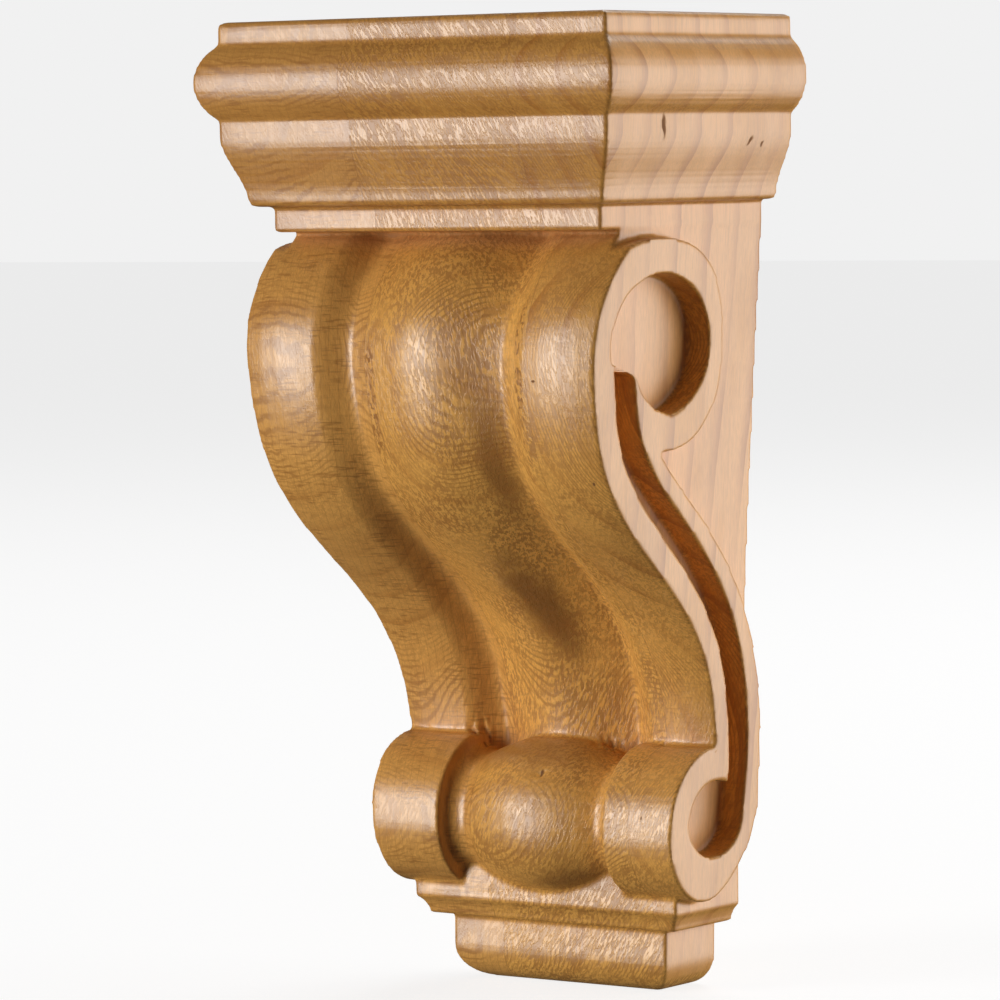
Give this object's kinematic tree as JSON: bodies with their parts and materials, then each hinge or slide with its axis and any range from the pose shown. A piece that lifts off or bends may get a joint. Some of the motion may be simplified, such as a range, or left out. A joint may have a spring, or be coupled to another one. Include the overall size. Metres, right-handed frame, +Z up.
{
  "type": "wood corbel",
  "caption": "Carved wood corbel with a moulded cap, a lobed S-curve front, scrolled sides and a turned roll; fixed to a wall to carry a shelf, counter or mantel.",
  "frame": {"origin": "middle of the flat back face, halfway up, where the corbel meets the wall", "axes": "+Z up, +Y into the wall, front towards -Y, +X to the right-hand scroll as seen with the cap up and the back behind"},
  "size_m": [0.092, 0.0624, 0.178],
  "materials": {
    "wood": "sanded smooth, bare to clear satin hardwood glued up from staves"
  },
  "bodies": {
    "root": {"corbel": "wood"}
  },
  "joints": []
}
